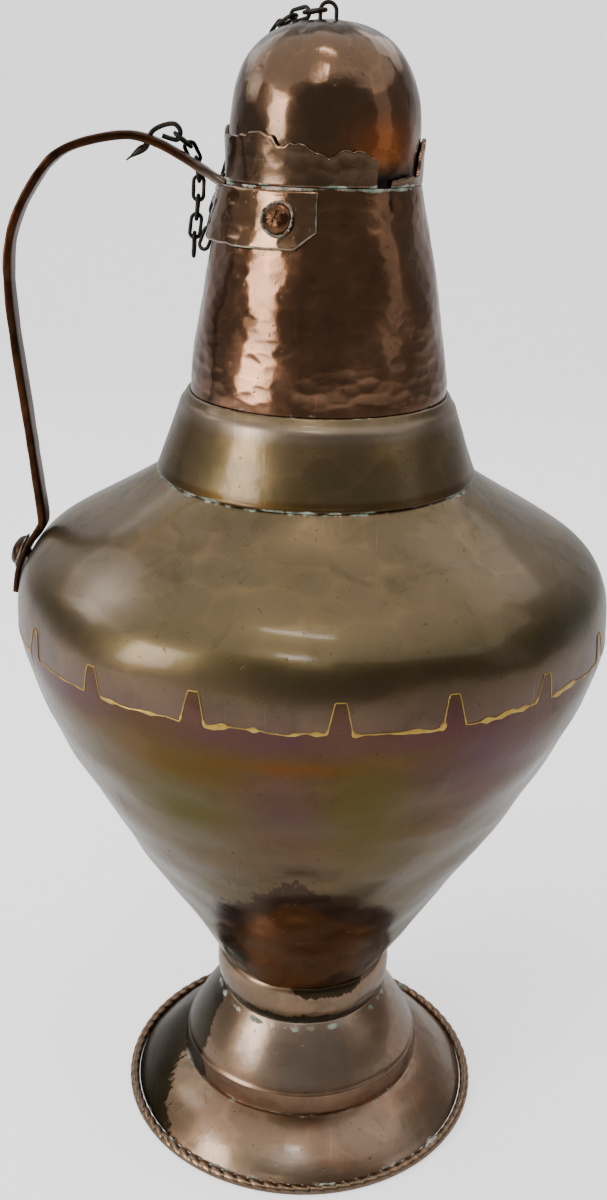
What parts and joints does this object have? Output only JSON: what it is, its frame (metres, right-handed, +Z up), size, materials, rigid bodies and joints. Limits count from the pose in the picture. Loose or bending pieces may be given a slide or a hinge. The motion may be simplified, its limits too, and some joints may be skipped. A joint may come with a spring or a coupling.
{
  "type": "jug",
  "caption": "Tall hammered copper water jug with a stepped foot, wide belly, conical neck, domed lift-off lid on an iron chain, and a riveted strap handle.",
  "frame": {"origin": "centre of the foot, on the surface that the jug stands on", "axes": "+Z up along the jug's axis, the handle on the -X side, the torn gap in the mouth collar towards -Y and +X"},
  "size_m": [0.3138, 0.3092, 0.6041],
  "materials": {
    "copper_foot": "worn brown copper, satin",
    "copper_belly": "hammered olive-brown copper, glossy patina",
    "copper_neck": "hammered red-brown copper, glossy patina",
    "copper_handle": "dark brown copper strap",
    "copper_rivet": "dark copper with verdigris round the head",
    "iron": "blackened iron wire"
  },
  "bodies": {
    "jug": {"foot_rim_bead": "copper_foot", "foot_dish": "copper_foot", "foot_cone": "copper_foot", "waist_collar": "copper_foot", "lower_bowl": "copper_belly", "shoulder": "copper_belly", "neck_band": "copper_belly", "neck_cone": "copper_neck", "mouth_collar": "copper_neck", "neck_saddle": "copper_neck", "handle_strap": "copper_handle", "saddle_rivet_front": "copper_rivet", "saddle_rivet_back": "copper_rivet", "shoulder_rivet": "copper_rivet", "hook_pin": "iron"},
    "lid": {"lid_dome": "copper_neck", "lid_sleeve": "copper_neck", "lid_staple": "iron"},
    "lid_link_01": {"lid_link_01": "iron"},
    "lid_link_02": {"lid_link_02": "iron"},
    "lid_link_03": {"lid_link_03": "iron"},
    "lid_link_04": {"lid_link_04": "iron"},
    "lid_link_05": {"lid_link_05": "iron"},
    "lid_link_06": {"lid_link_06": "iron"},
    "lid_link_07": {"lid_link_07": "iron"},
    "lid_link_08": {"lid_link_08": "iron"},
    "lid_link_09": {"lid_link_09": "iron"},
    "lid_link_10": {"lid_link_10": "iron"},
    "lid_link_11": {"lid_link_11": "iron"},
    "lid_link_12": {"lid_link_12": "iron"},
    "lid_link_13": {"lid_link_13": "iron"},
    "lid_link_14": {"lid_link_14": "iron"},
    "lid_link_15": {"lid_link_15": "iron"},
    "lid_link_16": {"lid_link_16": "iron"},
    "pin_link_01": {"pin_link_01": "iron"},
    "pin_link_02": {"pin_link_02": "iron"},
    "pin_link_03": {"pin_link_03": "iron"},
    "pin_link_04": {"pin_link_04": "iron"},
    "pin_link_05": {"pin_link_05": "iron"},
    "pin_link_06": {"pin_link_06": "iron"},
    "pin_link_07": {"pin_link_07": "iron"}
  },
  "joints": [
    {"name": "lid_lift", "type": "slide", "parent": "jug", "child": "lid", "axis": [0, 0, 1], "range_m": [0, 0.06]},
    {"name": "lid_link_01_swing", "type": "hinge", "parent": "lid", "child": "lid_link_01", "pos_m": [-0.00275, -0.00077, 0.60066], "axis": [0.614, 0.7886, 0.0332], "range_deg": [0, 8]},
    {"name": "lid_link_02_swing", "type": "hinge", "parent": "lid_link_01", "child": "lid_link_02", "pos_m": [-0.00975, 0.00471, 0.59977], "axis": [0.6432, 0.7647, 0.0392], "range_deg": [0, 8]},
    {"name": "lid_link_03_swing", "type": "hinge", "parent": "lid_link_02", "child": "lid_link_03", "pos_m": [-0.01645, 0.01043, 0.59827], "axis": [0.7354, 0.6733, 0.0769], "range_deg": [0, 8]},
    {"name": "lid_link_04_swing", "type": "hinge", "parent": "lid_link_03", "child": "lid_link_04", "pos_m": [-0.02183, 0.0167, 0.59484], "axis": [0.7391, 0.6688, 0.0805], "range_deg": [0, 8]},
    {"name": "lid_link_05_swing", "type": "hinge", "parent": "lid_link_04", "child": "lid_link_05", "pos_m": [-0.02628, 0.02227, 0.58945], "axis": [0.7313, 0.678, 0.0748], "range_deg": [0, 8]},
    {"name": "lid_link_06_swing", "type": "hinge", "parent": "lid_link_05", "child": "lid_link_06", "pos_m": [-0.02998, 0.027, 0.58282], "axis": [0.7142, 0.6977, 0.0549], "range_deg": [0, 8]},
    {"name": "lid_link_07_swing", "type": "hinge", "parent": "lid_link_06", "child": "lid_link_07", "pos_m": [-0.03258, 0.03027, 0.57493], "axis": [0.6807, 0.7326, 0], "range_deg": [0, 8]},
    {"name": "lid_link_08_swing", "type": "hinge", "parent": "lid_link_07", "child": "lid_link_08", "pos_m": [-0.03459, 0.03214, 0.56641], "axis": [0.6378, 0.7647, -0.0923], "range_deg": [0, 8]},
    {"name": "lid_link_09_swing", "type": "hinge", "parent": "lid_link_08", "child": "lid_link_09", "pos_m": [-0.0361, 0.03233, 0.55758], "axis": [0.5898, 0.7752, -0.2261], "range_deg": [0, 8]},
    {"name": "lid_link_10_swing", "type": "hinge", "parent": "lid_link_09", "child": "lid_link_10", "pos_m": [-0.03908, 0.03213, 0.54915], "axis": [0.56, 0.7523, -0.3469], "range_deg": [0, 8]},
    {"name": "lid_link_11_swing", "type": "hinge", "parent": "lid_link_10", "child": "lid_link_11", "pos_m": [-0.04313, 0.03148, 0.54121], "axis": [0.5174, 0.7592, -0.3949], "range_deg": [0, 8]},
    {"name": "lid_link_12_swing", "type": "hinge", "parent": "lid_link_11", "child": "lid_link_12", "pos_m": [-0.04642, 0.02953, 0.53314], "axis": [0.4725, 0.7954, -0.3795], "range_deg": [0, 8]},
    {"name": "lid_link_13_swing", "type": "hinge", "parent": "lid_link_12", "child": "lid_link_13", "pos_m": [-0.04903, 0.02716, 0.52494], "axis": [0.4183, 0.8148, -0.4014], "range_deg": [0, 8]},
    {"name": "lid_link_14_swing", "type": "hinge", "parent": "lid_link_13", "child": "lid_link_14", "pos_m": [-0.05158, 0.02447, 0.51681], "axis": [0.3783, 0.8563, -0.3516], "range_deg": [0, 8]},
    {"name": "lid_link_15_swing", "type": "hinge", "parent": "lid_link_14", "child": "lid_link_15", "pos_m": [-0.05435, 0.02232, 0.5086], "axis": [0.3669, 0.9199, -0.1386], "range_deg": [0, 8]},
    {"name": "lid_link_16_swing", "type": "hinge", "parent": "lid_link_15", "child": "lid_link_16", "pos_m": [-0.05661, 0.02193, 0.49998], "axis": [0.3504, 0.9283, -0.1242], "range_deg": [0, 8]},
    {"name": "pin_link_01_swing", "type": "hinge", "parent": "jug", "child": "pin_link_01", "pos_m": [-0.06971, -0.0009, 0.54489], "axis": [0.8041, -0.5945, 0], "range_deg": [0, 8]},
    {"name": "pin_link_02_swing", "type": "hinge", "parent": "pin_link_01", "child": "pin_link_02", "pos_m": [-0.06501, 0.00546, 0.54081], "axis": [0.8065, -0.5912, 0], "range_deg": [0, 8]},
    {"name": "pin_link_03_swing", "type": "hinge", "parent": "pin_link_02", "child": "pin_link_03", "pos_m": [-0.06183, 0.0098, 0.5337], "axis": [0, 0.9879, 0.155], "range_deg": [0, 8]},
    {"name": "pin_link_04_swing", "type": "hinge", "parent": "pin_link_03", "child": "pin_link_04", "pos_m": [-0.06074, 0.01117, 0.52493], "axis": [0, 0.9998, 0.0219], "range_deg": [0, 8]},
    {"name": "pin_link_05_swing", "type": "hinge", "parent": "pin_link_04", "child": "pin_link_05", "pos_m": [-0.06114, 0.01137, 0.516], "axis": [0, 1, 0.0079], "range_deg": [0, 8]},
    {"name": "pin_link_06_swing", "type": "hinge", "parent": "pin_link_05", "child": "pin_link_06", "pos_m": [-0.06196, 0.01144, 0.50711], "axis": [0, 1, -0.0048], "range_deg": [0, 8]},
    {"name": "pin_link_07_swing", "type": "hinge", "parent": "pin_link_06", "child": "pin_link_07", "pos_m": [-0.06311, 0.0114, 0.49826], "axis": [0, 1, 0.0074], "range_deg": [0, 8]}
  ]
}
